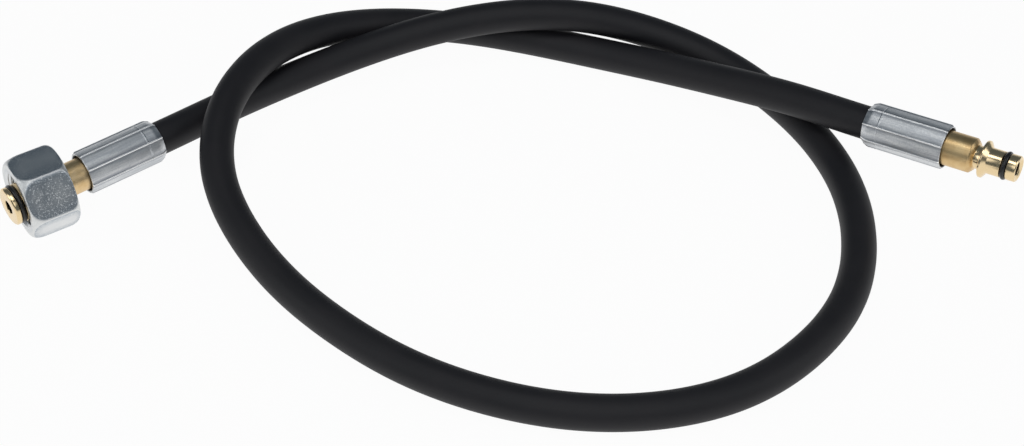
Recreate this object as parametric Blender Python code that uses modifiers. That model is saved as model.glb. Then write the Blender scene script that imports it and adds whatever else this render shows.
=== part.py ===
"""High-pressure hose in a loose overhand loop, with a screw-on union at one end and a plug at the other.

Metres, +Z up. The origin is under the middle of the two end fittings, on the surface they lie over.
Each fitting is measured along its own axis, from the mouth of its ferrule, where the hose leaves it.
"""
import math

import bpy
import bmesh
import numpy as np

# Fits
CLEARANCE = 0.0003
RECESS_CLEARANCE = 0.0008
OVERCUT = 0.002
ROUND_STEPS = 40

# Hose
HOSE_OD = 0.0130
HOSE_BORE = 0.0064
HOSE_POINTS = 74

# Crimped ferrules
FERRULE_LENGTH = 0.0320
FERRULE_HOLD = 0.0256
FLANGE_THICKNESS = 0.0020
FLAT_COUNT = 8
FLAT_RADIUS = 0.0081
FLAT_CROWN = 0.7
RIDGE_HEIGHT = 0.00026
RIDGE_WIDTH = 0.0007
MOUTH_DROP = 0.0009
MOUTH_TAPER = 0.0022
END_CHAMFER = 0.0005
DIE_MARK_PLACE = 0.0062
DIE_MARK_WIDTH = 0.0004
DIE_MARK_HEIGHT = 0.00018

# Tails of both nipples, inside the hose
TAIL_OD = 0.0070
TAIL_LENGTH = 0.0236
LOCK_OD = 0.0092
BARB_COUNT = 6
BARB_HEIGHT = 0.0004
WATERWAY = 0.0050

# Union nipple
SHANK_OD = 0.0128
SHANK_LENGTH = 0.0133
COLLAR_OD = 0.0184
COLLAR_THICKNESS = 0.0030
PIN_OD = 0.0147
PIN_LENGTH = 0.0145
PIN_LAND = 0.0018
PIN_GROOVE = 0.0024
PIN_CHAMFER = 0.0005
PIN_MOUTH = 0.0058

# Union nut, thread M22 x 1.5
NUT_ACROSS_FLATS = 0.0285
NUT_CORNERS = 0.0326
NUT_FACE = 0.0278
NUT_CHAMFER = 0.0018
NUT_LENGTH = 0.0184
NUT_BACK_WALL = 0.0040
THREAD_OD = 0.0220
THREAD_BORE = 0.0204

# How the loose nut lies on the nipple: behind the collar, aside of the nipple's axis and turned from it
NUT_SLACK = 0.0011
NUT_FLOAT = 0.0013
NUT_ASIDE = 0.0006
NUT_TURN = math.radians(5)

# Plug
BODY_OD = 0.0134
BODY_SEEN = 0.0115
BODY_CHAMFER = 0.0014
NECK_OD = 0.0090
NECK_LENGTH = 0.0020
CAM_OD = 0.0142
CAM_RISE = 0.0008
CAM_LAND = 0.0009
CAM_FALL = 0.0014
NOSE_OD = 0.0100
NOSE_LENGTH = 0.0053
PLUG_GROOVE = 0.0025
TIP_LENGTH = 0.0035
TIP_CHAMFER = 0.0004
TIP_MOUTH = 0.0084
TIP_MOUTH_DEPTH = 0.0009

# O-rings
PIN_RING_SECTION = 0.0019
PIN_RING_OD = 0.0153
PLUG_RING_SECTION = 0.0019
PLUG_RING_OD = 0.0109

# Where the ferrules' mouths lie, and which way each fitting points
UNION_MOUTH = (-0.1359, 0.0207, NUT_ACROSS_FLATS / 2)
UNION_HEADING = math.radians(-142)
UNION_RISE = 0.0
UNION_FERRULE_TURN = math.radians(19)
PLUG_MOUTH = (0.1375, 0.0204, 0.0226)
PLUG_HEADING = math.radians(-33)
PLUG_RISE = math.radians(5)
PLUG_FERRULE_TURN = math.radians(-12.5)

# The hose's middle, from the union's mouth to the plug's, between the two mouths
ROUTE = [
    (-0.1120, 0.0423, 0.0125), (-0.0880, 0.0613, 0.0115), (-0.0620, 0.0763, 0.0130),
    (-0.0335, 0.0863, 0.0168), (-0.0045, 0.0913, 0.0200), (0.0270, 0.0928, 0.0195),
    (0.0555, 0.0893, 0.0147), (0.0835, 0.0773, 0.0093), (0.1050, 0.0563, 0.0068),
    (0.1200, 0.0303, 0.0066), (0.1285, 0.0018, 0.0066), (0.1290, -0.0297, 0.0066),
    (0.1210, -0.0587, 0.0066), (0.1040, -0.0832, 0.0066), (0.0800, -0.1017, 0.0066),
    (0.0520, -0.1107, 0.0066), (0.0215, -0.1112, 0.0066), (-0.0075, -0.1042, 0.0066),
    (-0.0355, -0.0907, 0.0066), (-0.0600, -0.0722, 0.0068), (-0.0810, -0.0512, 0.0080),
    (-0.0980, -0.0277, 0.0113), (-0.1095, -0.0002, 0.0173), (-0.1090, 0.0298, 0.0238),
    (-0.0975, 0.0573, 0.0252), (-0.0780, 0.0803, 0.0205), (-0.0535, 0.0948, 0.0137),
    (-0.0225, 0.0993, 0.0086), (0.0070, 0.0943, 0.0067), (0.0355, 0.0843, 0.0070),
    (0.0620, 0.0713, 0.0098), (0.0870, 0.0553, 0.0147), (0.1115, 0.0383, 0.0196),
]

# Places along a fitting, from its ferrule's mouth
FLANGE_BACK = FERRULE_HOLD + CLEARANCE
FLANGE_FRONT = FLANGE_BACK + FLANGE_THICKNESS
SHOULDER = FLANGE_FRONT + CLEARANCE
TAIL_END = FLANGE_BACK - TAIL_LENGTH
COLLAR_BACK = FERRULE_LENGTH + SHANK_LENGTH
COLLAR_FRONT = COLLAR_BACK + COLLAR_THICKNESS
PIN_FRONT = COLLAR_FRONT + PIN_LENGTH
NUT_BACK = COLLAR_BACK - NUT_FLOAT - NUT_BACK_WALL
BODY_FRONT = FERRULE_LENGTH + BODY_SEEN

for old in list(bpy.data.objects):
    bpy.data.objects.remove(old, do_unlink=True)


def new_collection(name):
    collection = bpy.data.collections.new(name)
    bpy.context.scene.collection.children.link(collection)
    return collection


PARTS = new_collection("pressure_washer_hose")
CUTTERS = new_collection("cutters")


def material(name, colour, roughness, metallic):
    made = bpy.data.materials.new(name)
    made.use_nodes = True
    shader = made.node_tree.nodes["Principled BSDF"]
    shader.inputs["Base Color"].default_value = (*colour, 1.0)
    shader.inputs["Roughness"].default_value = roughness
    shader.inputs["Metallic"].default_value = metallic
    return made


def fitting_axis(name, mouth, heading, rise):
    """An empty at a ferrule's mouth, whose Z points out along the fitting and whose X points down."""
    empty = bpy.data.objects.new(name, None)
    empty.location = mouth
    empty.rotation_euler = (0.0, math.pi / 2 - rise, heading)
    PARTS.objects.link(empty)
    return empty


def loose_nut_axis(union_axis):
    """An empty at the middle of the nut's back, set aside and turned from the nipple's axis, X down."""
    empty = bpy.data.objects.new("nut_axis", None)
    PARTS.objects.link(empty)
    empty.parent = union_axis
    empty.location = (0.0, NUT_ASIDE, NUT_BACK)
    empty.rotation_euler = (NUT_TURN, 0.0, 0.0)
    return empty


def heading_vector(heading, rise):
    return np.array((math.cos(rise) * math.cos(heading), math.cos(rise) * math.sin(heading), math.sin(rise)))


def as_cutter(obj):
    for holder in list(obj.users_collection):
        holder.objects.unlink(obj)
    CUTTERS.objects.link(obj)
    obj.hide_render = True
    obj.display_type = "WIRE"
    return obj


def boolean(obj, operation, other):
    cut = obj.modifiers.new(other.name, "BOOLEAN")
    cut.operation = operation
    cut.solver = "EXACT"
    cut.object = other


def turned(name, profile, axis, closed=True):
    """A profile of (radius, height) points, down the outer side and up the inner, turned about Z."""
    edges = [(i, i + 1) for i in range(len(profile) - 1)]
    if closed:
        edges.append((len(profile) - 1, 0))
    mesh = bpy.data.meshes.new(name)
    mesh.from_pydata([(radius, 0.0, height) for radius, height in profile], edges, [])
    obj = bpy.data.objects.new(name, mesh)
    PARTS.objects.link(obj)
    obj.parent = axis
    screw = obj.modifiers.new("Turn", "SCREW")
    screw.axis = "Z"
    screw.angle = 2 * math.pi
    screw.steps = ROUND_STEPS
    screw.render_steps = ROUND_STEPS
    screw.use_merge_vertices = True
    screw.merge_threshold = 0.00001
    screw.use_smooth_shade = True
    return obj


def mesh_from_curve(curve_object):
    """The curve's own evaluated surface as a mesh object with its caps welded."""
    bpy.context.view_layer.update()
    graph = bpy.context.evaluated_depsgraph_get()
    mesh = bpy.data.meshes.new_from_object(curve_object.evaluated_get(graph))
    shape = bmesh.new()
    shape.from_mesh(mesh)
    bmesh.ops.remove_doubles(shape, verts=shape.verts, dist=0.000001)
    shape.to_mesh(mesh)
    shape.free()
    mesh.shade_smooth()
    mesh.set_sharp_from_angle(angle=math.radians(40))
    name = curve_object.name
    place = curve_object.matrix_world.copy()
    bpy.data.objects.remove(curve_object, do_unlink=True)
    obj = bpy.data.objects.new(name, mesh)
    obj.matrix_world = place
    PARTS.objects.link(obj)
    return obj


def poly_curve(name, points, dimensions, closed=False):
    curve = bpy.data.curves.new(name, "CURVE")
    curve.dimensions = dimensions
    spline = curve.splines.new("POLY")
    spline.points.add(len(points) - 1)
    for target, point in zip(spline.points, points):
        target.co = (*point, 1.0)
    spline.use_cyclic_u = closed
    obj = bpy.data.objects.new(name, curve)
    PARTS.objects.link(obj)
    return obj


def tube(name, points, radius, resolution):
    obj = poly_curve(name, points, "3D")
    obj.data.bevel_depth = radius
    obj.data.bevel_resolution = resolution
    obj.data.use_fill_caps = True
    return mesh_from_curve(obj)


def smooth_route(points, start, end, count):
    """Evenly spaced points on the cubic spline through points, with the given directions at its ends."""
    points = np.array(points)
    chord = np.linalg.norm(np.diff(points, axis=0), axis=1)
    last = len(chord)
    system = np.zeros((last + 1, last + 1))
    right = np.zeros((last + 1, 3))
    slope = np.diff(points, axis=0) / chord[:, None]
    system[0, :2] = 2 * chord[0], chord[0]
    right[0] = 6 * (slope[0] - start)
    system[last, -2:] = chord[-1], 2 * chord[-1]
    right[last] = 6 * (end - slope[-1])
    for i in range(1, last):
        system[i, i - 1:i + 2] = chord[i - 1], 2 * (chord[i - 1] + chord[i]), chord[i]
        right[i] = 6 * (slope[i] - slope[i - 1])
    bend = np.linalg.solve(system, right)
    fine = []
    for i, length in enumerate(chord):
        for part in np.linspace(0.0, 1.0, 40, endpoint=False):
            before, after = 1 - part, part
            curve = (before ** 3 - before) * bend[i] + (after ** 3 - after) * bend[i + 1]
            fine.append(before * points[i] + after * points[i + 1] + curve * length ** 2 / 6)
    fine.append(points[-1])
    fine = np.array(fine)
    travelled = np.concatenate(([0.0], np.cumsum(np.linalg.norm(np.diff(fine, axis=0), axis=1))))
    wanted = np.linspace(0.0, travelled[-1], count)
    return np.stack([np.interp(wanted, travelled, fine[:, k]) for k in range(3)], axis=1)


def ring_profile(outer_diameter, section, height, sides=10):
    """A round section, started at its outermost point and run down the outer side."""
    middle = (outer_diameter - section) / 2
    turns = [-2 * math.pi * i / sides for i in range(sides)]
    return [(middle + section / 2 * math.cos(a), height + section / 2 * math.sin(a)) for a in turns]


def tail_profile():
    """The part of both nipples from the ferrule's flange in: lock groove, barbed tail and waterway."""
    tail = TAIL_OD / 2
    root = tail - BARB_HEIGHT
    pitch = TAIL_LENGTH / BARB_COUNT
    profile = [(LOCK_OD / 2, SHOULDER), (LOCK_OD / 2, FLANGE_BACK)]
    for i in range(BARB_COUNT):
        high = FLANGE_BACK - i * pitch
        profile += [(tail, high), (root, high - pitch)]
    return profile + [(WATERWAY / 2, TAIL_END)]


def build_union_nipple(axis):
    pin, collar, shank = PIN_OD / 2, COLLAR_OD / 2, SHANK_OD / 2
    groove_front = PIN_FRONT - PIN_LAND
    groove_back = groove_front - PIN_GROOVE
    groove_root = PIN_RING_OD / 2 - PIN_RING_SECTION - CLEARANCE
    mouth_depth = (PIN_MOUTH - WATERWAY) / 2
    profile = [
        (PIN_MOUTH / 2, PIN_FRONT),
        (pin - PIN_CHAMFER, PIN_FRONT),
        (pin, PIN_FRONT - PIN_CHAMFER),
        (pin, groove_front),
        (groove_root, groove_front),
        (groove_root, groove_back),
        (pin, groove_back),
        (pin, COLLAR_FRONT),
        (collar, COLLAR_FRONT),
        (collar, COLLAR_BACK),
        (shank, COLLAR_BACK),
        (shank, SHOULDER),
        *tail_profile(),
        (WATERWAY / 2, PIN_FRONT - mouth_depth),
    ]
    nipple = turned("union_nipple", profile, axis)
    ring_place = (groove_front + groove_back) / 2
    ring = turned("union_o_ring", ring_profile(PIN_RING_OD, PIN_RING_SECTION, ring_place), axis)
    return nipple, ring


def build_plug(axis):
    body, neck, cam, nose = BODY_OD / 2, NECK_OD / 2, CAM_OD / 2, NOSE_OD / 2
    cam_back = BODY_FRONT + NECK_LENGTH
    cam_top = cam_back + CAM_RISE
    cam_front = cam_top + CAM_LAND
    nose_back = cam_front + CAM_FALL
    groove_back = nose_back + NOSE_LENGTH
    groove_front = groove_back + PLUG_GROOVE
    groove_root = PLUG_RING_OD / 2 - PLUG_RING_SECTION - CLEARANCE
    front = groove_front + TIP_LENGTH
    profile = [
        (TIP_MOUTH / 2, front),
        (nose - TIP_CHAMFER, front),
        (nose, front - TIP_CHAMFER),
        (nose, groove_front),
        (groove_root, groove_front),
        (groove_root, groove_back),
        (nose, groove_back),
        (nose, nose_back),
        (cam, cam_front),
        (cam, cam_top),
        (neck, cam_back),
        (neck, BODY_FRONT),
        (body - BODY_CHAMFER, BODY_FRONT),
        (body, BODY_FRONT - BODY_CHAMFER),
        (body, SHOULDER),
        *tail_profile(),
        (WATERWAY / 2, front - TIP_MOUTH_DEPTH),
    ]
    nipple = turned("plug_nipple", profile, axis)
    ring_place = (groove_front + groove_back) / 2
    ring = turned("plug_o_ring", ring_profile(PLUG_RING_OD, PLUG_RING_SECTION, ring_place), axis)
    return nipple, ring


def ferrule_outline():
    """Pressed flats, slightly crowned, that meet in narrow raised ridges."""
    sector = 2 * math.pi / FLAT_COUNT
    ridge = RIDGE_WIDTH / 2 / FLAT_RADIUS
    edge = sector / 2 - ridge
    points = []
    for i in range(FLAT_COUNT):
        middle = i * sector
        for angle in np.linspace(-edge, edge, 5):
            radius = FLAT_RADIUS / math.cos(FLAT_CROWN * angle)
            points.append((radius * math.cos(middle + angle), radius * math.sin(middle + angle), 0.0))
        peak = FLAT_RADIUS / math.cos(FLAT_CROWN * sector / 2) + RIDGE_HEIGHT
        points.append((peak * math.cos(middle + sector / 2), peak * math.sin(middle + sector / 2), 0.0))
    return points


def build_ferrule(name, axis, shank_radius, turn):
    """A crimped sleeve: ridged outside, chamfered ends, die mark ring, flange in the nipple's groove."""
    corner = FLAT_RADIUS / math.cos(FLAT_CROWN * math.pi / FLAT_COUNT)
    over = corner + RIDGE_HEIGHT + CLEARANCE
    hose_seat = HOSE_OD / 2 + CLEARANCE
    sleeve = poly_curve(name, ferrule_outline(), "2D", closed=True)
    sleeve.data.fill_mode = "BOTH"
    sleeve.data.extrude = FERRULE_LENGTH / 2 + OVERCUT
    sleeve = mesh_from_curve(sleeve)
    sleeve.parent = axis
    sleeve.location = (0.0, 0.0, FERRULE_LENGTH / 2)
    sleeve.rotation_euler = (0.0, 0.0, turn)
    ends = turned(name + "_ends", [
        (0.0, FERRULE_LENGTH),
        (over - END_CHAMFER - CLEARANCE, FERRULE_LENGTH),
        (over, FERRULE_LENGTH - END_CHAMFER - CLEARANCE),
        (over, MOUTH_TAPER),
        (over - CLEARANCE - MOUTH_DROP, 0.0),
        (0.0, 0.0),
    ], axis, closed=False)
    mark = turned(name + "_mark", [
        (corner + DIE_MARK_HEIGHT, DIE_MARK_PLACE + DIE_MARK_WIDTH / 2),
        (corner + DIE_MARK_HEIGHT, DIE_MARK_PLACE - DIE_MARK_WIDTH / 2),
        (hose_seat + CLEARANCE, DIE_MARK_PLACE - DIE_MARK_WIDTH / 2),
        (hose_seat + CLEARANCE, DIE_MARK_PLACE + DIE_MARK_WIDTH / 2),
    ], axis)
    bore = turned(name + "_bore", [
        (0.0, FERRULE_LENGTH + OVERCUT),
        (shank_radius + RECESS_CLEARANCE, FERRULE_LENGTH + OVERCUT),
        (shank_radius + RECESS_CLEARANCE, FLANGE_FRONT),
        (LOCK_OD / 2 + CLEARANCE, FLANGE_FRONT),
        (LOCK_OD / 2 + CLEARANCE, FLANGE_BACK),
        (hose_seat, FLANGE_BACK),
        (hose_seat, -OVERCUT),
        (0.0, -OVERCUT),
    ], axis, closed=False)
    boolean(sleeve, "INTERSECT", as_cutter(ends))
    boolean(sleeve, "UNION", as_cutter(mark))
    boolean(sleeve, "DIFFERENCE", as_cutter(bore))
    return sleeve


def build_nut(axis):
    """A hexagon whose corners are turned back at both ends, bored for its thread and the nipple's shank."""
    bpy.ops.mesh.primitive_cylinder_add(
        vertices=6, radius=NUT_ACROSS_FLATS / math.sqrt(3), depth=NUT_LENGTH + 2 * OVERCUT)
    nut = bpy.context.object
    nut.name = "union_nut"
    for holder in list(nut.users_collection):
        holder.objects.unlink(nut)
    PARTS.objects.link(nut)
    nut.parent = axis
    nut.location = (0.0, 0.0, NUT_LENGTH / 2)
    corners = turned("nut_corners", [
        (0.0, NUT_LENGTH),
        (NUT_FACE / 2, NUT_LENGTH),
        (NUT_CORNERS / 2, NUT_LENGTH - NUT_CHAMFER),
        (NUT_CORNERS / 2, NUT_CHAMFER),
        (NUT_FACE / 2, 0.0),
        (0.0, 0.0),
    ], axis, closed=False)
    lead = (THREAD_OD - THREAD_BORE) / 2
    bore = turned("nut_bore", [
        (0.0, NUT_LENGTH + OVERCUT),
        (THREAD_OD / 2, NUT_LENGTH + OVERCUT),
        (THREAD_OD / 2, NUT_LENGTH),
        (THREAD_BORE / 2, NUT_LENGTH - lead),
        (THREAD_BORE / 2, NUT_BACK_WALL),
        (SHANK_OD / 2 + NUT_SLACK, NUT_BACK_WALL),
        (SHANK_OD / 2 + NUT_SLACK, -OVERCUT),
        (0.0, -OVERCUT),
    ], axis, closed=False)
    boolean(nut, "INTERSECT", as_cutter(corners))
    boolean(nut, "DIFFERENCE", as_cutter(bore))
    return nut


def build_hose(union_axis, plug_axis):
    """One tube along the route, straight inside the ferrules, bored through and opened for the tails."""
    union_out = heading_vector(UNION_HEADING, UNION_RISE)
    plug_out = heading_vector(PLUG_HEADING, PLUG_RISE)
    start, end = np.array(UNION_MOUTH), np.array(PLUG_MOUTH)
    free = smooth_route([UNION_MOUTH, *ROUTE, PLUG_MOUTH], -union_out, plug_out, HOSE_POINTS)
    middle = [start + FERRULE_HOLD * union_out, *free, end + FERRULE_HOLD * plug_out]
    through = [middle[0] + OVERCUT * union_out, *free, middle[-1] + OVERCUT * plug_out]
    hose = tube("hose", middle, HOSE_OD / 2, 4)
    boolean(hose, "DIFFERENCE", as_cutter(tube("hose_bore", through, HOSE_BORE / 2, 2)))
    for label, axis in (("union", union_axis), ("plug", plug_axis)):
        seat = turned(label + "_tail_seat", [
            (0.0, FERRULE_HOLD + OVERCUT),
            (TAIL_OD / 2 + CLEARANCE, FERRULE_HOLD + OVERCUT),
            (TAIL_OD / 2 + CLEARANCE, TAIL_END - CLEARANCE),
            (0.0, TAIL_END - CLEARANCE),
        ], axis, closed=False)
        boolean(hose, "DIFFERENCE", as_cutter(seat))
    return hose


def main():
    zinc = (0.55, 0.56, 0.58)
    brass = (0.72, 0.52, 0.24)
    black = (0.018, 0.018, 0.020)
    union_axis = fitting_axis("union_axis", UNION_MOUTH, UNION_HEADING, UNION_RISE)
    plug_axis = fitting_axis("plug_axis", PLUG_MOUTH, PLUG_HEADING, PLUG_RISE)
    nut = build_nut(loose_nut_axis(union_axis))
    union_nipple, union_ring = build_union_nipple(union_axis)
    plug_nipple, plug_ring = build_plug(plug_axis)
    union_ferrule = build_ferrule("union_ferrule", union_axis, SHANK_OD / 2, UNION_FERRULE_TURN)
    plug_ferrule = build_ferrule("plug_ferrule", plug_axis, BODY_OD / 2, PLUG_FERRULE_TURN)
    hose = build_hose(union_axis, plug_axis)
    finishes = (
        (nut, zinc, 0.35, 1.0),
        (union_nipple, brass, 0.3, 1.0),
        (union_ring, black, 0.4, 0.0),
        (union_ferrule, zinc, 0.4, 1.0),
        (hose, black, 0.6, 0.0),
        (plug_ferrule, zinc, 0.4, 1.0),
        (plug_nipple, brass, 0.3, 1.0),
        (plug_ring, black, 0.4, 0.0),
    )
    for obj, colour, roughness, metallic in finishes:
        obj.data.materials.clear()
        obj.data.materials.append(material(obj.name, colour, roughness, metallic))


main()
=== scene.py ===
import math
from functools import cached_property

import bmesh
import bpy
import numpy as np
from mathutils import Euler, Matrix, Vector


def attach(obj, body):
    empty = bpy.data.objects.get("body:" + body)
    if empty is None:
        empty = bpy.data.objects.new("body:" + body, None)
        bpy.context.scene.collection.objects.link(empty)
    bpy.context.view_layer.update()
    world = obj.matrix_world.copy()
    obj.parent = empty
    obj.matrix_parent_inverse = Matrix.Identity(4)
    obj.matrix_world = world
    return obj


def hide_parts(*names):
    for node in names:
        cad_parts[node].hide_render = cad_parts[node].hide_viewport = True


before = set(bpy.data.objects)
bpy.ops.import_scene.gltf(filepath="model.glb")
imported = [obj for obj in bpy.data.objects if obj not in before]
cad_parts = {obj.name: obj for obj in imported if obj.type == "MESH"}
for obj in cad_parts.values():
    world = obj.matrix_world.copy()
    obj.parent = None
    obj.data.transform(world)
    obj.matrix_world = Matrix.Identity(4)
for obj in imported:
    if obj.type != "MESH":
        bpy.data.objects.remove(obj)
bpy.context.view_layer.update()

# The camera: place in metres, tilt below the horizon in degrees, lens and sensor in millimetres
CAMERA_PLACE = (0.0011, -0.5366, 0.490)
CAMERA_TILT = 43.0
CAMERA_LENS = 66.8
SENSOR_WIDTH = 36.0
VIEW_REACH = 50.0

# The hose, in metres and radians
HOSE_OD = 0.0130
HOSE_BORE = 0.0064
TAIL_SEAT = 0.0076
HOSE_HOLD = 0.0256
UNION_MOUTH = (-0.1359, 0.0207, 0.01425)
UNION_HEADING = math.radians(-142)
UNION_RISE = 0.0
UNION_FERRULE_TURN = math.radians(19)
PLUG_MOUTH = (0.1375, 0.0204, 0.0226)
PLUG_HEADING = math.radians(-33)
PLUG_RISE = math.radians(5)
PLUG_FERRULE_TURN = math.radians(-12.5)
ROUTE = [
    (-0.1120, 0.0423, 0.0125), (-0.0880, 0.0613, 0.0115), (-0.0620, 0.0763, 0.0130),
    (-0.0335, 0.0863, 0.0168), (-0.0045, 0.0913, 0.0200), (0.0270, 0.0928, 0.0195),
    (0.0555, 0.0893, 0.0147), (0.0835, 0.0773, 0.0093), (0.1050, 0.0563, 0.0068),
    (0.1200, 0.0303, 0.0066), (0.1285, 0.0018, 0.0066), (0.1290, -0.0297, 0.0066),
    (0.1210, -0.0587, 0.0066), (0.1040, -0.0832, 0.0066), (0.0800, -0.1017, 0.0066),
    (0.0520, -0.1107, 0.0066), (0.0215, -0.1112, 0.0066), (-0.0075, -0.1042, 0.0066),
    (-0.0355, -0.0907, 0.0066), (-0.0600, -0.0722, 0.0068), (-0.0810, -0.0512, 0.0080),
    (-0.0980, -0.0277, 0.0113), (-0.1095, -0.0002, 0.0173), (-0.1090, 0.0298, 0.0238),
    (-0.0975, 0.0573, 0.0252), (-0.0780, 0.0803, 0.0205), (-0.0535, 0.0948, 0.0137),
    (-0.0225, 0.0993, 0.0086), (0.0070, 0.0943, 0.0067), (0.0355, 0.0843, 0.0070),
    (0.0620, 0.0713, 0.0098), (0.0870, 0.0553, 0.0147), (0.1115, 0.0383, 0.0196),
]

# Clearances and broken edges
CLEARANCE = 0.0003
RECESS_CLEARANCE = 0.0008
BRASS_EDGE = 0.00012
ZINC_EDGE = 0.0002
MERGE = 0.000001
NEAR = 0.0001

# The ferrules. Heights along a fitting are measured out from the mouth of its ferrule
FERRULE_LENGTH = 0.0320
FLANGE_BACK = 0.0259
FLANGE_FRONT = 0.0279
FLAT_COUNT = 8
FLAT_RADIUS = 0.0081
FLAT_CROWN = 0.7
RIDGE_HEIGHT = 0.00026
RIDGE_WIDTH = 0.0009
RIDGE_SHADE = 0.0021
MOUTH_DROP = 0.0009
MOUTH_TAPER = 0.0022
MOUTH_CURVE = 1.2
END_CHAMFER = 0.0005
END_BAND = 0.0016
DIE_MARK_PLACE = 0.0062
DIE_MARK_WIDTH = 0.0007
DIE_MARK_HEIGHT = 0.00018

# The tails inside the hose
SHOULDER = 0.0282
LOCK_RADIUS = 0.0046
TAIL_RADIUS = 0.0035
TAIL_ROOT = 0.0031
TAIL_LENGTH = 0.0236
BARB_COUNT = 6
WATERWAY = 0.0050

# The union
SHANK_RADIUS = 0.0064
NUT_LENGTH = 0.0184
NUT_ACROSS_FLATS = 0.0285
NUT_CORNERS = 0.0326
NUT_FACE = 0.0278
NUT_FRONT_BARREL = 0.0062
NUT_BACK_BARREL = 0.0034
NUT_BACK_WALL = 0.0040
NUT_BORE_CHAMFER = 0.0004
CORNER_BLEND = 0.0005
FLAT_BORDER = 0.0018
THREAD_OD = 0.0220
THREAD_BORE = 0.0204
THREAD_PITCH = 0.0015
THREAD_START = 0.0012
THREAD_MOUTH_SLOPE = 0.9
NUT_SLACK = 0.0011
NUT_BACK = 0.0400
NUT_ASIDE = 0.0006
NUT_TURN = math.radians(5)
COLLAR_BACK = 0.0453
COLLAR_FRONT = 0.0483
COLLAR_RADIUS = 0.0092
PIN_FRONT = 0.0628
PIN_RADIUS = 0.00735
PIN_CHAMFER = 0.0005
PIN_MOUTH = 0.0058
PIN_GROOVE_FRONT = PIN_FRONT - 0.0018
PIN_GROOVE_BACK = PIN_GROOVE_FRONT - 0.0024
PIN_RING_OD = 0.0153
PIN_RING_SECTION = 0.0019

# The plug
BODY_FRONT = 0.0435
BODY_RADIUS = 0.0067
BODY_CHAMFER = 0.0014
NECK_RADIUS = 0.0045
CAM_BACK = BODY_FRONT + 0.0020
CAM_TOP = CAM_BACK + 0.0008
CAM_FRONT = CAM_TOP + 0.0009
CAM_RADIUS = 0.0071
NOSE_BACK = CAM_FRONT + 0.0014
NOSE_RADIUS = 0.0050
PLUG_GROOVE_BACK = NOSE_BACK + 0.0053
PLUG_GROOVE_FRONT = PLUG_GROOVE_BACK + 0.0025
PLUG_FRONT = PLUG_GROOVE_FRONT + 0.0035
TIP_CHAMFER = 0.0004
TIP_MOUTH = 0.0084
TIP_MOUTH_DEPTH = 0.0009
PLUG_RING_OD = 0.0109
PLUG_RING_SECTION = 0.0019

# The O-rings' mould line: its height, and the share of the section that it takes
FLASH_HEIGHT = 0.00003
FLASH_SHARE = 0.05

# How finely each form is drawn
SPLINE_STEPS = 60
HOSE_RINGS = 560
CLAMPED_RINGS = 12
HOSE_FINENESS = 14
TURNED_SIDES = 128
NUT_SIDES = 288
FLAT_SIDES = 36
RIDGE_CROWDING = 1.8
RING_POINTS = 32

# The angle in degrees past which an edge stays sharp
SHARP = 40.0
SHARP_BRASS = 22.0
SHARP_ZINC = 50.0
SHARP_SEAL = 60.0

# Colours, linear
RUBBER, RUBBER_WORN = (0.009, 0.0086, 0.0110), (0.0135, 0.0124, 0.0148)
SEAL = (0.012, 0.012, 0.012)
PLATE, PLATE_PALE = (0.69, 0.705, 0.715), (0.75, 0.76, 0.76)
# Painted shade, mottled, along the borders of the nut's flats
PLATE_BORDER_SHADE = (0.26, 0.32, 0.38)
PLATE_PIT = (0.95, 0.97, 0.97)
PLATE_CORNER = (0.78, 0.79, 0.785)
SLEEVE, SLEEVE_PALE = (0.66, 0.68, 0.70), (0.80, 0.81, 0.81)
SLEEVE_STREAK = (0.40, 0.43, 0.47)
# Painted shade beside the sleeves' raised lines
SLEEVE_RIDGE_SHADE = (0.24, 0.26, 0.29)
SLEEVE_GRAIN = (0.40, 0.42, 0.45)
# Painted highlight on the sleeves' raised lines
SLEEVE_HIGHLIGHT = (1.0, 1.0, 1.0)
# Painted shade in the recess at the sleeves' front
SLEEVE_RECESS_SHADE = (0.02, 0.02, 0.02)
BRASS_POLISHED = (0.83, 0.65, 0.39)
# Painted shade down the waterway's bore
BRASS_BORE_SHADE = (0.012, 0.008, 0.005)
UNION_SATIN, UNION_SATIN_PALE = (0.68, 0.48, 0.24), (0.78, 0.59, 0.34)
PLUG_SATIN, PLUG_SATIN_PALE = (0.64, 0.44, 0.21), (0.74, 0.55, 0.29)
FLOOR = (0.9, 0.9, 0.9)
WHITE = (1.0, 1.0, 1.0, 1.0)
SURROUNDINGS = (0.63, 0.77, 0.90, 1.0)

# Light: the floor's own share of white, the surroundings' strength, and each lamp's name, place,
# width and height in metres, and power in watts. The lamps look at the middle of the floor
FLOOR_HALF = 4.0
FLOOR_GLOW = 0.96
SURROUNDINGS_STRENGTH = 0.155
LAMPS = (
    ("overhead", (-0.1, -0.1, 1.1), (0.5, 0.3), 1.6),
    ("front", (0.0, -0.9, 1.0), (1.3, 0.7), 3.6),
    ("back", (0.0, 1.3, 0.22), (1.8, 0.4), 0.9),
    ("left", (-1.1, -0.3, 0.6), (0.5, 0.7), 2.2),
    ("right", (1.1, -0.3, 0.6), (0.5, 0.7), 2.2),
)


def fitting_place(mouth, heading, rise):
    """Turns fitting space, Z out along the fitting and X down, to the frame."""
    turn = Euler((0.0, math.pi / 2 - rise, heading))
    return Matrix.Translation(mouth) @ turn.to_matrix().to_4x4()


UNION_PLACE = fitting_place(UNION_MOUTH, UNION_HEADING, UNION_RISE)
PLUG_PLACE = fitting_place(PLUG_MOUTH, PLUG_HEADING, PLUG_RISE)
NUT_PLACE = (
    UNION_PLACE @ Matrix.Translation((0.0, NUT_ASIDE, NUT_BACK)) @ Matrix.Rotation(NUT_TURN, 4, "X"))


def make_camera():
    data = bpy.data.cameras.new("camera")
    data.lens = CAMERA_LENS
    data.sensor_width = SENSOR_WIDTH
    data.sensor_fit = "HORIZONTAL"
    data.clip_end = VIEW_REACH
    camera = bpy.data.objects.new("camera", data)
    camera.location = CAMERA_PLACE
    camera.rotation_euler = (math.radians(90.0 - CAMERA_TILT), 0.0, 0.0)
    bpy.context.scene.collection.objects.link(camera)
    bpy.context.scene.camera = camera


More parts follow.
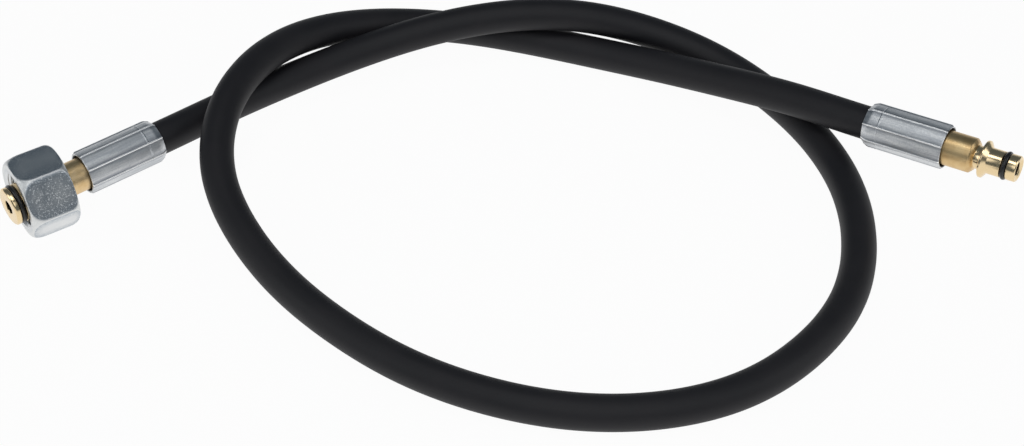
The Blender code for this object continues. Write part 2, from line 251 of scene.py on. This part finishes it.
def finish_mesh(name, bm, sharp=SHARP):
    """Makes the scene's object from a bmesh, smooth but for its sharp edges."""
    mesh = bpy.data.meshes.new(name)
    bm.to_mesh(mesh)
    bm.free()
    mesh.shade_smooth()
    mesh.set_sharp_from_angle(angle=math.radians(sharp))
    obj = bpy.data.objects.new(name, mesh)
    bpy.context.scene.collection.objects.link(obj)
    return obj


def stand_for(piece, node, body):
    """Puts a piece on its body in place of a CAD node."""
    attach(piece, body)
    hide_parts(node)


def share(value):
    """The value, kept between 0 and 1."""
    return max(0.0, min(1.0, value))


def rows(start, end, count):
    return list(np.linspace(start, end, count))


def cord_rings(points, start, end, count):
    """Evenly spaced points on the cubic spline through points, with the given directions at its ends."""
    points = np.array(points)
    chord = np.linalg.norm(np.diff(points, axis=0), axis=1)
    last = len(chord)
    system = np.zeros((last + 1, last + 1))
    right = np.zeros((last + 1, 3))
    slope = np.diff(points, axis=0) / chord[:, None]
    system[0, :2] = 2 * chord[0], chord[0]
    right[0] = 6 * (slope[0] - start)
    system[last, -2:] = chord[-1], 2 * chord[-1]
    right[last] = 6 * (end - slope[-1])
    for i in range(1, last):
        system[i, i - 1:i + 2] = chord[i - 1], 2 * (chord[i - 1] + chord[i]), chord[i]
        right[i] = 6 * (slope[i] - slope[i - 1])
    bend = np.linalg.solve(system, right)
    fine = []
    for i, length in enumerate(chord):
        for part in np.linspace(0.0, 1.0, SPLINE_STEPS, endpoint=False):
            before, after = 1 - part, part
            curve = (before ** 3 - before) * bend[i] + (after ** 3 - after) * bend[i + 1]
            fine.append(before * points[i] + after * points[i + 1] + curve * length ** 2 / 6)
    fine.append(points[-1])
    fine = np.array(fine)
    travelled = np.concatenate(([0.0], np.cumsum(np.linalg.norm(np.diff(fine, axis=0), axis=1))))
    wanted = np.linspace(0.0, travelled[-1], count)
    return np.stack([np.interp(wanted, travelled, fine[:, k]) for k in range(3)], axis=1)


def heading_vector(heading, rise):
    level = math.cos(rise)
    return np.array((level * math.cos(heading), level * math.sin(heading), math.sin(rise)))


def swept_wall(name, points, radius, scales):
    """An open round wall along points, as a mesh; scales are each ring's share of radius."""
    curve = bpy.data.curves.new(name, "CURVE")
    curve.dimensions = "3D"
    curve.bevel_depth = radius
    curve.bevel_resolution = HOSE_FINENESS
    curve.use_fill_caps = False
    spline = curve.splines.new("POLY")
    spline.points.add(len(points) - 1)
    for target, point, scale in zip(spline.points, points, scales):
        target.co = (*point, 1.0)
        target.radius = scale
    holder = bpy.data.objects.new(name, curve)
    bpy.context.scene.collection.objects.link(holder)
    bpy.context.view_layer.update()
    graph = bpy.context.evaluated_depsgraph_get()
    mesh = bpy.data.meshes.new_from_object(holder.evaluated_get(graph))
    bpy.data.objects.remove(holder, do_unlink=True)
    return mesh


def make_hose():
    """The rubber hose with its bore, opened for the tails that the ferrules clamp it on."""
    union_out = heading_vector(UNION_HEADING, UNION_RISE)
    plug_out = heading_vector(PLUG_HEADING, PLUG_RISE)
    free = cord_rings([UNION_MOUTH, *ROUTE, PLUG_MOUTH], -union_out, plug_out, HOSE_RINGS)
    steps = np.linspace(HOSE_HOLD, 0.0, CLAMPED_RINGS, endpoint=False)
    start = [np.array(UNION_MOUTH) + union_out * step for step in steps]
    end = [np.array(PLUG_MOUTH) + plug_out * step for step in steps[::-1]]
    path = np.array([*start, *free, *end])
    from_end = np.minimum(np.arange(len(path)), np.arange(len(path))[::-1])
    bore = np.where(from_end < len(steps), TAIL_SEAT / HOSE_BORE, 1.0)
    bm = bmesh.new()
    bm.from_mesh(swept_wall("hose_outside", path, HOSE_OD / 2, np.ones(len(path))))
    inside = swept_wall("hose_inside", path, HOSE_BORE / 2, bore)
    inside.flip_normals()
    bm.from_mesh(inside)
    bmesh.ops.remove_doubles(bm, verts=bm.verts, dist=MERGE)
    for place in (path[0], path[-1]):
        rims = [
            edge for edge in bm.edges
            if edge.is_boundary and (edge.verts[0].co - Vector(place)).length < HOSE_OD]
        bmesh.ops.bridge_loops(bm, edges=rims)
    bmesh.ops.recalc_face_normals(bm, faces=bm.faces)
    hose = finish_mesh("rubber_hose", bm)
    stand_for(hose, "hose", "hose_assembly")
    return hose


def spun(profile, sides=TURNED_SIDES):
    """A closed form turned about Z from (radius, height) points, down the outer side and up the inner."""
    bm = bmesh.new()
    verts = [bm.verts.new((radius, 0.0, height)) for radius, height in profile]
    edges = [bm.edges.new(pair) for pair in zip(verts, verts[1:])]
    edges.append(bm.edges.new((verts[-1], verts[0])))
    bmesh.ops.spin(
        bm, geom=verts + edges, cent=(0, 0, 0), axis=(0, 0, 1), angle=2 * math.pi, steps=sides,
        use_merge=True)
    bmesh.ops.remove_doubles(bm, verts=bm.verts, dist=MERGE)
    bmesh.ops.recalc_face_normals(bm, faces=bm.faces)
    return bm


def ease_edges(bm, width, above=25.0):
    """Breaks the turned piece's sharp edges."""
    limit = math.radians(above)
    sharp = [e for e in bm.edges if len(e.link_faces) == 2 and e.calc_face_angle() > limit]
    bmesh.ops.bevel(
        bm, geom=sharp, offset=width, offset_type="OFFSET", affect="EDGES", segments=2, profile=0.5,
        material=-1, clamp_overlap=True)


def soft_min(first, second, blend):
    """The smaller value, rounded over where the two come within blend of each other."""
    overlap = max(blend - abs(first - second), 0.0) / blend
    return min(first, second) - overlap * overlap * blend / 4


def nut_outside(angle, height):
    """The hexagon's radius, its corners turned back, and shares of turned corner and flat's border."""
    sector = math.pi / 3
    local = (angle - math.pi / 2) % sector - sector / 2
    flat = NUT_ACROSS_FLATS / 2 / math.cos(local)
    reach = min((NUT_LENGTH - height) / NUT_FRONT_BARREL, height / NUT_BACK_BARREL, 1.0)
    bulge = math.sqrt(max(0.0, 1 - (1 - reach) ** 2))
    barrel = NUT_FACE / 2 + (NUT_CORNERS - NUT_FACE) / 2 * bulge
    turned_back = share((flat - barrel) / CORNER_BLEND + 0.5)
    border = share(1 + (flat - barrel) / FLAT_BORDER)
    return soft_min(flat, barrel, CORNER_BLEND), turned_back, border


def thread_depth(angle, height):
    """The M22 x 1.5 thread, run out at its mouth and at the back wall."""
    fade = share(min(NUT_LENGTH - height, height - NUT_BACK_WALL - THREAD_START) / THREAD_PITCH)
    turn = (height / THREAD_PITCH - angle / (2 * math.pi)) % 1.0
    tooth = share(abs(turn * 2 - 1) * 1.3 - 0.15)
    return (THREAD_OD - THREAD_BORE) / 2 * tooth * fade


def nut_profile():
    """Rows down the outside, closer together towards both ends, and up the bore and the thread."""
    outer = [NUT_LENGTH - NUT_FRONT_BARREL * step ** 2 for step in rows(0.0, 1.0, 30)]
    outer += rows(NUT_LENGTH - NUT_FRONT_BARREL, NUT_BACK_BARREL, 10)[1:-1]
    outer += [NUT_BACK_BARREL * step ** 2 for step in rows(1.0, 0.0, 26)]
    bore = SHANK_RADIUS + NUT_SLACK
    inner = rows(NUT_BACK_WALL, NUT_LENGTH, 90)
    return [
        *((NUT_FACE / 2, height) for height in outer),
        (bore + NUT_BORE_CHAMFER, 0.0), (bore, NUT_BORE_CHAMFER), (bore, NUT_BACK_WALL),
        *((THREAD_BORE / 2, height) for height in inner[:-1]),
        (THREAD_OD / 2 + ZINC_EDGE, NUT_LENGTH),
    ]


def make_nut():
    """The zinc-plated union nut, one closed form: hexagon outside, thread and shank bore inside."""
    bm = spun(nut_profile(), NUT_SIDES)
    corner = bm.verts.layers.float.new("chamfer")
    edge = bm.verts.layers.float.new("border")
    for vert in bm.verts:
        radius = math.hypot(vert.co.x, vert.co.y)
        angle = math.atan2(vert.co.y, vert.co.x)
        target = radius
        if radius > NUT_FACE / 2 - NEAR:
            target, vert[corner], vert[edge] = nut_outside(angle, vert.co.z)
        elif abs(radius - THREAD_BORE / 2) < NEAR:
            mouth = THREAD_OD / 2 + ZINC_EDGE - (NUT_LENGTH - vert.co.z) * THREAD_MOUTH_SLOPE
            target = max(radius + thread_depth(angle, vert.co.z), mouth)
        vert.co.x *= target / radius
        vert.co.y *= target / radius
    bm.transform(NUT_PLACE)
    nut = finish_mesh("hexagon_union_nut", bm, SHARP_ZINC)
    stand_for(nut, "union_nut", "nut")
    return nut


def ferrule_outside(angle, height):
    """The radius over flats, raised lines, die's mark and mouth, and two shares: the line, where a
    highlight is painted, and near it, where shade is painted.
    """
    sector = 2 * math.pi / FLAT_COUNT
    local = (angle + sector / 2) % sector - sector / 2
    flat = FLAT_RADIUS / math.cos(FLAT_CROWN * local)
    from_ridge = (sector / 2 - abs(local)) * FLAT_RADIUS
    ridge = max(0.0, 1 - (from_ridge / (RIDGE_WIDTH / 2)) ** 2)
    shade_beside = max(0.0, 1 - from_ridge / RIDGE_SHADE)
    mark = max(0.0, 1 - ((height - DIE_MARK_PLACE) / (DIE_MARK_WIDTH / 2)) ** 2)
    lift = max(RIDGE_HEIGHT * ridge, DIE_MARK_HEIGHT * mark)
    into_mouth = max(0.0, 1 - height / MOUTH_TAPER)
    pressed = flat + lift - MOUTH_DROP * into_mouth ** MOUTH_CURVE
    top = FLAT_RADIUS / math.cos(FLAT_CROWN * sector / 2) + RIDGE_HEIGHT
    nose = top - END_CHAMFER + (FERRULE_LENGTH - height)
    return soft_min(pressed, nose, CLEARANCE), ridge, shade_beside


def ridge_angle(angle):
    """Crowds a flat's columns towards its ridges."""
    sector = 2 * math.pi / FLAT_COUNT
    index = math.floor(angle / sector + 0.5)
    local = (angle - index * sector) / (sector / 2)
    crowded = math.copysign(1 - (1 - abs(local)) ** RIDGE_CROWDING, local)
    return index * sector + crowded * sector / 2


def ferrule_profile(shank):
    """Rows down the outside, closer together at both ends and the die's mark, and up the inside."""
    above_mark, below_mark = DIE_MARK_PLACE + DIE_MARK_WIDTH, DIE_MARK_PLACE - DIE_MARK_WIDTH
    stops = (FERRULE_LENGTH, FERRULE_LENGTH - END_BAND, above_mark, below_mark, MOUTH_TAPER, 0.0)
    outer = [FERRULE_LENGTH]
    for start, end, count in zip(stops, stops[1:], (14, 12, 13, 6, 14)):
        outer += rows(start, end, count)[1:]
    seat = HOSE_OD / 2 + CLEARANCE
    lock = LOCK_RADIUS + CLEARANCE
    recess = shank + RECESS_CLEARANCE
    return [
        *((FLAT_RADIUS, height) for height in outer),
        (seat + CLEARANCE, 0.0), (seat, CLEARANCE), (seat, FLANGE_BACK), (lock, FLANGE_BACK),
        (lock, FLANGE_FRONT), (recess, FLANGE_FRONT), (recess, FERRULE_LENGTH - ZINC_EDGE),
        (recess + ZINC_EDGE, FERRULE_LENGTH),
    ]


def make_ferrule(name, node, place, shank, turn):
    """A crimped sleeve: pressed flats and their raised lines, chamfered ends and an inner flange."""
    bm = spun(ferrule_profile(shank), FLAT_COUNT * FLAT_SIDES)
    raised = bm.verts.layers.float.new("raised")
    shade_beside = bm.verts.layers.float.new("shade_beside")
    for vert in bm.verts:
        radius = math.hypot(vert.co.x, vert.co.y)
        angle = ridge_angle(math.atan2(vert.co.y, vert.co.x))
        if radius > FLAT_RADIUS - NEAR:
            radius, vert[raised], vert[shade_beside] = ferrule_outside(angle, vert.co.z)
        vert.co = Vector((radius * math.cos(angle), radius * math.sin(angle), vert.co.z))
    bm.transform(place @ Matrix.Rotation(turn, 4, "Z"))
    ferrule = finish_mesh(name, bm, SHARP_ZINC)
    stand_for(ferrule, node, "hose_assembly")
    return ferrule


def tail_profile():
    """From the ferrule's flange in: lock groove, barbed tail and the end of the waterway."""
    pitch = TAIL_LENGTH / BARB_COUNT
    profile = [(LOCK_RADIUS, SHOULDER), (LOCK_RADIUS, FLANGE_BACK)]
    for i in range(BARB_COUNT):
        profile += [
            (TAIL_RADIUS, FLANGE_BACK - i * pitch), (TAIL_ROOT, FLANGE_BACK - (i + 1) * pitch)]
    return profile + [(WATERWAY / 2, FLANGE_BACK - TAIL_LENGTH)]


def grooved_end(radius, front, chamfer, mouth, groove_front, groove_back, ring_od, section):
    """From the mouth out over the chamfered front and down past the O-ring's groove."""
    root = ring_od / 2 - section - CLEARANCE
    return [
        (mouth / 2, front), (radius - chamfer, front), (radius, front - chamfer),
        (radius, groove_front), (root, groove_front), (root, groove_back), (radius, groove_back),
    ]


def turn_nipple(name, node, profile, place):
    """A turned brass nipple with broken edges."""
    bm = spun(profile)
    ease_edges(bm, BRASS_EDGE)
    bm.transform(place)
    nipple = finish_mesh(name, bm, SHARP_BRASS)
    stand_for(nipple, node, "hose_assembly")
    return nipple


def make_union_nipple():
    """The pin with its groove, the collar that holds the nut, the shank and the tail."""
    mouth_depth = (PIN_MOUTH - WATERWAY) / 2
    return turn_nipple("brass_union_pin", "union_nipple", [
        *grooved_end(PIN_RADIUS, PIN_FRONT, PIN_CHAMFER, PIN_MOUTH, PIN_GROOVE_FRONT,
                     PIN_GROOVE_BACK, PIN_RING_OD, PIN_RING_SECTION),
        (PIN_RADIUS, COLLAR_FRONT), (COLLAR_RADIUS, COLLAR_FRONT), (COLLAR_RADIUS, COLLAR_BACK),
        (SHANK_RADIUS, COLLAR_BACK), (SHANK_RADIUS, SHOULDER), *tail_profile(),
        (WATERWAY / 2, PIN_FRONT - mouth_depth),
    ], UNION_PLACE)


def make_plug_nipple():
    """The nose with its groove, the cam, the neck, the plain body and the tail."""
    return turn_nipple("brass_plug", "plug_nipple", [
        *grooved_end(NOSE_RADIUS, PLUG_FRONT, TIP_CHAMFER, TIP_MOUTH, PLUG_GROOVE_FRONT,
                     PLUG_GROOVE_BACK, PLUG_RING_OD, PLUG_RING_SECTION),
        (NOSE_RADIUS, NOSE_BACK), (CAM_RADIUS, CAM_FRONT), (CAM_RADIUS, CAM_TOP),
        (NECK_RADIUS, CAM_BACK), (NECK_RADIUS, BODY_FRONT), (BODY_RADIUS - BODY_CHAMFER, BODY_FRONT),
        (BODY_RADIUS, BODY_FRONT - BODY_CHAMFER), (BODY_RADIUS, SHOULDER), *tail_profile(),
        (WATERWAY / 2, PLUG_FRONT - TIP_MOUTH_DEPTH),
    ], PLUG_PLACE)


def make_o_ring(name, node, place, outside, section, groove):
    """A moulded ring in its groove, with the fine flash line that its mould leaves round the outside."""
    middle = outside / 2 - section / 2
    height = sum(groove) / 2
    profile = []
    for i in range(RING_POINTS):
        turn = -2 * math.pi * i / RING_POINTS
        reach = section / 2 + (FLASH_HEIGHT if abs(math.sin(turn)) < FLASH_SHARE else 0.0)
        profile.append((middle + reach * math.cos(turn), height + reach * math.sin(turn)))
    bm = spun(profile)
    bm.transform(place)
    ring = finish_mesh(name, bm, SHARP_SEAL)
    stand_for(ring, node, "hose_assembly")
    return ring


class Value:
    """A node socket that can be used in Python expressions."""

    def __init__(self, tree, socket):
        self.tree = tree
        self.socket = socket

    def maths(self, operation, *values):
        node = self.tree.nodes.new("ShaderNodeMath")
        node.operation = operation
        for target, value in zip(node.inputs, values):
            if isinstance(value, Value):
                self.tree.links.new(value.socket, target)
            else:
                target.default_value = value
        return Value(self.tree, node.outputs[0])

    def __add__(self, other):
        return self.maths("ADD", self, other)

    def __sub__(self, other):
        return self.maths("SUBTRACT", self, other)

    def __mul__(self, other):
        return self.maths("MULTIPLY", self, other)

    def __pow__(self, other):
        return self.maths("POWER", self, other)

    def __radd__(self, other):
        return self.maths("ADD", other, self)

    def __rsub__(self, other):
        return self.maths("SUBTRACT", other, self)

    def __rmul__(self, other):
        return self.maths("MULTIPLY", other, self)

    def most(self, other):
        return self.maths("MAXIMUM", self, other)

    def ramp(self, low, high):
        """0 at low and 1 at high, smoothly."""
        node = self.tree.nodes.new("ShaderNodeMapRange")
        node.interpolation_type = "SMOOTHSTEP"
        self.tree.links.new(self.socket, node.inputs["Value"])
        node.inputs["From Min"].default_value = low
        node.inputs["From Max"].default_value = high
        return Value(self.tree, node.outputs[0])


class Finish:
    """A material whose shader is a Principled BSDF, and the calls that add nodes to it."""

    def __init__(self, name, colour, roughness, metallic=0.0, place=None):
        self.material = bpy.data.materials.new(name)
        self.material.use_nodes = True
        self.tree = self.material.node_tree
        self.shader = self.tree.nodes["Principled BSDF"]
        self.place = place
        self.set(self.shader, {
            "Base Color": (*colour, 1.0), "Roughness": roughness, "Metallic": metallic})

    def set(self, node, inputs):
        for name, value in inputs.items():
            if isinstance(value, Value):
                self.tree.links.new(value.socket, node.inputs[name])
            else:
                node.inputs[name].default_value = value

    def node(self, kind, output=0, inputs=None, **settings):
        node = self.tree.nodes.new("ShaderNode" + kind)
        for name, value in settings.items():
            setattr(node, name, value)
        self.set(node, inputs or {})
        return Value(self.tree, node.outputs[output])

    @cached_property
    def here(self):
        """Object coordinates, or those of the fitting at place, with Z out along it."""
        here = self.node("TexCoord", "Object")
        if self.place is None:
            return here
        return self.node("Mapping", vector_type="TEXTURE", inputs={
            "Vector": here, "Location": self.place.translation, "Rotation": self.place.to_euler()})

    def scaled(self, scale):
        return self.node("Mapping", vector_type="POINT", inputs={"Vector": self.here, "Scale": scale})

    def along(self):
        """The height along the fitting."""
        return self.node("SeparateXYZ", "Z", inputs={"Vector": self.here})

    def from_axis(self):
        """The distance from the fitting's axis."""
        across = self.scaled((1.0, 1.0, 0.0))
        return self.node("VectorMath", "Value", operation="LENGTH", inputs={"Vector": across})

    def attribute(self, name):
        return self.node("Attribute", "Fac", attribute_name=name)

    def noise(self, size, detail=3.0, roughness=0.5, scale=None):
        """Noise with features of about size, drawn out where scale is under 1."""
        where = self.here if scale is None else self.scaled(scale)
        return self.node("TexNoise", "Fac", inputs={
            "Vector": where, "Scale": 1.0 / size, "Detail": detail, "Roughness": roughness})

    def mix(self, amount, first, second):
        node = self.tree.nodes.new("ShaderNodeMix")
        node.data_type = "RGBA"
        for index, value in ((0, amount), (6, first), (7, second)):
            if isinstance(value, Value) or index == 0:
                self.set(node, {index: value})
            else:
                self.set(node, {index: (*value, 1.0)})
        return Value(self.tree, node.outputs[2])

    def bump(self, height, distance, strength=1.0):
        bumped = self.node("Bump", "Normal", inputs={
            "Height": height, "Strength": strength, "Distance": distance})
        self.set(self.shader, {"Normal": bumped})


def rubber_finish():
    """Extruded black cover: fine grain and a little lighter wear."""
    finish = Finish("hose_rubber", (0.012, 0.012, 0.013), 0.5)
    grain = finish.noise(0.0006, 4.0, 0.6)
    patches = finish.noise(0.02)
    finish.set(finish.shader, {
        "Base Color": finish.mix(patches.ramp(0.35, 0.7), RUBBER, RUBBER_WORN),
        "Roughness": 0.5 + 0.12 * patches + 0.06 * grain,
        "Specular IOR Level": 0.4,
    })
    finish.bump(grain, 0.00003, 0.6)
    return finish.material


def seal_finish():
    """Moulded nitrile, smooth, with a thin film of grease."""
    finish = Finish("seal_rubber", SEAL, 0.32)
    grain = finish.noise(0.0004)
    film = finish.noise(0.003, 2.0)
    finish.set(finish.shader, {"Roughness": 0.24 + 0.2 * film})
    finish.bump(grain, 0.00001, 0.5)
    return finish.material


def nut_finish():
    """Bright zinc plate: satin flats, pitted and darkened by mottled painted shade towards their borders,
    and turned corners.
    """
    finish = Finish("nut_zinc", (0.6, 0.63, 0.66), 0.3, 1.0)
    chamfer = finish.attribute("chamfer")
    border = finish.attribute("border")
    cloud = finish.noise(0.006)
    mottle = finish.noise(0.0014, 4.0, 0.6)
    pits = finish.noise(0.0005, 2.0).ramp(0.60, 0.70)
    # Painted shade along the flats' borders, mottled, kept off the turned corners
    border_shade = border ** 0.7 * (1 - chamfer) * (0.55 + 0.45 * mottle.ramp(0.35, 0.6))
    colour = finish.mix(cloud.ramp(0.3, 0.7), PLATE, PLATE_PALE)
    colour = finish.mix(border_shade * 0.75, colour, PLATE_BORDER_SHADE)
    colour = finish.mix(pits * (0.35 + 0.65 * border), colour, PLATE_PIT)
    colour = finish.mix(chamfer.ramp(0.2, 0.9), colour, PLATE_CORNER)
    finish.set(finish.shader, {
        "Base Color": colour,
        "Roughness": 0.26 + 0.12 * cloud + 0.14 * chamfer + 0.1 * mottle * border,
    })
    finish.bump(cloud * 0.5 - pits + mottle * border, 0.00006, 0.5)
    return finish.material


def ferrule_finish(name, place, shank):
    """Satin zinc from the crimping die: drawn lines, raised lines painted white as a highlight with
    painted shade beside them, and painted shade in the recess at its front.
    """
    finish = Finish(name, (0.66, 0.67, 0.68), 0.36, 1.0, place)
    recess = shank + RECESS_CLEARANCE
    lines = finish.noise(0.0005, scale=(1.0, 1.0, 0.06))
    streaks = finish.noise(0.0024, 3.0, 0.6, (1.0, 1.0, 0.12))
    cloud = finish.noise(0.005)
    grain = finish.noise(0.0006)
    raised = finish.attribute("raised")
    shade_beside = finish.attribute("shade_beside")
    # Painted shade beside the raised lines, broken up by the streaks, kept off the lines themselves
    painted_ridge_shade = shade_beside.ramp(0.1, 0.85) * (0.55 + 0.45 * streaks) * (1 - raised.ramp(0.2, 0.4))
    past_flange = finish.along().ramp(FLANGE_FRONT - 0.001, FLANGE_FRONT)
    # Painted shade in the recess past the flange, near the shank
    inside = (1 - finish.from_axis().ramp(recess + 0.0001, recess + 0.0004)) * past_flange
    colour = finish.mix(lines.ramp(0.3, 0.7), SLEEVE, SLEEVE_PALE)
    colour = finish.mix(streaks.ramp(0.4, 0.65) * 0.55, colour, SLEEVE_STREAK)
    colour = finish.mix(painted_ridge_shade * 0.95, colour, SLEEVE_RIDGE_SHADE)
    colour = finish.mix(grain.ramp(0.45, 0.62) * 0.25, colour, SLEEVE_GRAIN)
    # The raised lines are painted white, a painted highlight
    colour = finish.mix(raised.ramp(0.3, 0.55), colour, SLEEVE_HIGHLIGHT)
    colour = finish.mix(inside * 0.95, colour, SLEEVE_RECESS_SHADE)
    finish.set(finish.shader, {
        "Base Color": colour, "Roughness": 0.27 + 0.12 * cloud + 0.1 * lines + 0.1 * grain})
    finish.bump(lines + 0.5 * grain, 0.00004, 0.6)
    return finish.material


def brass_finish(name, place, satin_to, satin, satin_pale):
    """Turned brass with the tool's fine rings, satin up to a height and polished past it, with painted
    shade down the waterway.
    """
    finish = Finish(name, (0.83, 0.66, 0.40), 0.25, 1.0, place)
    rings = finish.noise(0.0004, 2.0, scale=(0.02, 0.02, 1.0))
    cloud = finish.noise(0.004)
    polished = finish.along().ramp(satin_to - 0.0002, satin_to + 0.0002)
    # Painted shade down the waterway's bore
    inside = 1 - finish.from_axis().ramp(WATERWAY / 2 + 0.00005, WATERWAY / 2 + 0.0003)
    colour = finish.mix(cloud.ramp(0.3, 0.7), satin, satin_pale)
    colour = finish.mix(polished, colour, BRASS_POLISHED)
    colour = finish.mix(inside * 0.96, colour, BRASS_BORE_SHADE)
    dulled = (1 - polished) * (0.13 + 0.08 * rings)
    finish.set(finish.shader, {"Base Color": colour, "Roughness": 0.19 + 0.06 * cloud + dulled})
    finish.bump(rings, 0.000008, 0.4)
    return finish.material


def dress(obj, material):
    obj.data.materials.clear()
    obj.data.materials.append(material)


def make_floor():
    """A floor that shows white to the camera and in the metal, and keeps the object's shadow."""
    bm = bmesh.new()
    bmesh.ops.create_grid(bm, x_segments=1, y_segments=1, size=FLOOR_HALF)
    floor = finish_mesh("floor", bm)
    finish = Finish("floor", FLOOR, 0.9)
    finish.set(finish.shader, {"Specular IOR Level": 0.0})
    seen = finish.node("LightPath", "Is Camera Ray")
    seen = seen.most(finish.node("LightPath", "Is Glossy Ray"))
    seen = seen.most(finish.node("LightPath", "Is Transmission Ray"))
    glow = finish.node("Emission", "Emission", inputs={"Color": WHITE})
    lit = Value(finish.tree, finish.shader.outputs["BSDF"])
    blend = finish.node("MixShader", "Shader", inputs={0: seen * FLOOR_GLOW, 1: lit, 2: glow})
    finish.set(finish.tree.nodes["Material Output"], {"Surface": blend})
    dress(floor, finish.material)


def make_light():
    """Pale blue surroundings and five soft lamps."""
    world = bpy.data.worlds.new("studio")
    bpy.context.scene.world = world
    world.use_nodes = True
    background = world.node_tree.nodes["Background"]
    background.inputs["Color"].default_value = SURROUNDINGS
    background.inputs["Strength"].default_value = SURROUNDINGS_STRENGTH
    for name, place, size, power in LAMPS:
        data = bpy.data.lights.new(name, "AREA")
        data.shape = "RECTANGLE"
        data.size, data.size_y = size
        data.energy = power
        lamp = bpy.data.objects.new(name, data)
        lamp.location = place
        lamp.rotation_euler = (-Vector(place)).to_track_quat("-Z", "Y").to_euler()
        bpy.context.scene.collection.objects.link(lamp)


make_camera()
hose = make_hose()
nut = make_nut()
union_nipple = make_union_nipple()
union_ring = make_o_ring(
    "pin_seal", "union_o_ring", UNION_PLACE, PIN_RING_OD, PIN_RING_SECTION,
    (PIN_GROOVE_FRONT, PIN_GROOVE_BACK))
union_ferrule = make_ferrule(
    "crimped_union_sleeve", "union_ferrule", UNION_PLACE, SHANK_RADIUS, UNION_FERRULE_TURN)
plug_ferrule = make_ferrule(
    "crimped_plug_sleeve", "plug_ferrule", PLUG_PLACE, BODY_RADIUS, PLUG_FERRULE_TURN)
plug_nipple = make_plug_nipple()
plug_ring = make_o_ring(
    "plug_seal", "plug_o_ring", PLUG_PLACE, PLUG_RING_OD, PLUG_RING_SECTION,
    (PLUG_GROOVE_FRONT, PLUG_GROOVE_BACK))

seal = seal_finish()
dress(hose, rubber_finish())
dress(nut, nut_finish())
dress(union_nipple, brass_finish(
    "union_brass", UNION_PLACE, COLLAR_BACK, UNION_SATIN, UNION_SATIN_PALE))
dress(plug_nipple, brass_finish(
    "plug_brass", PLUG_PLACE, BODY_FRONT, PLUG_SATIN, PLUG_SATIN_PALE))
dress(union_ring, seal)
dress(plug_ring, seal)
dress(union_ferrule, ferrule_finish("union_sleeve_zinc", UNION_PLACE, SHANK_RADIUS))
dress(plug_ferrule, ferrule_finish("plug_sleeve_zinc", PLUG_PLACE, BODY_RADIUS))

make_floor()
make_light()
bpy.context.scene.view_settings.view_transform = "Standard"
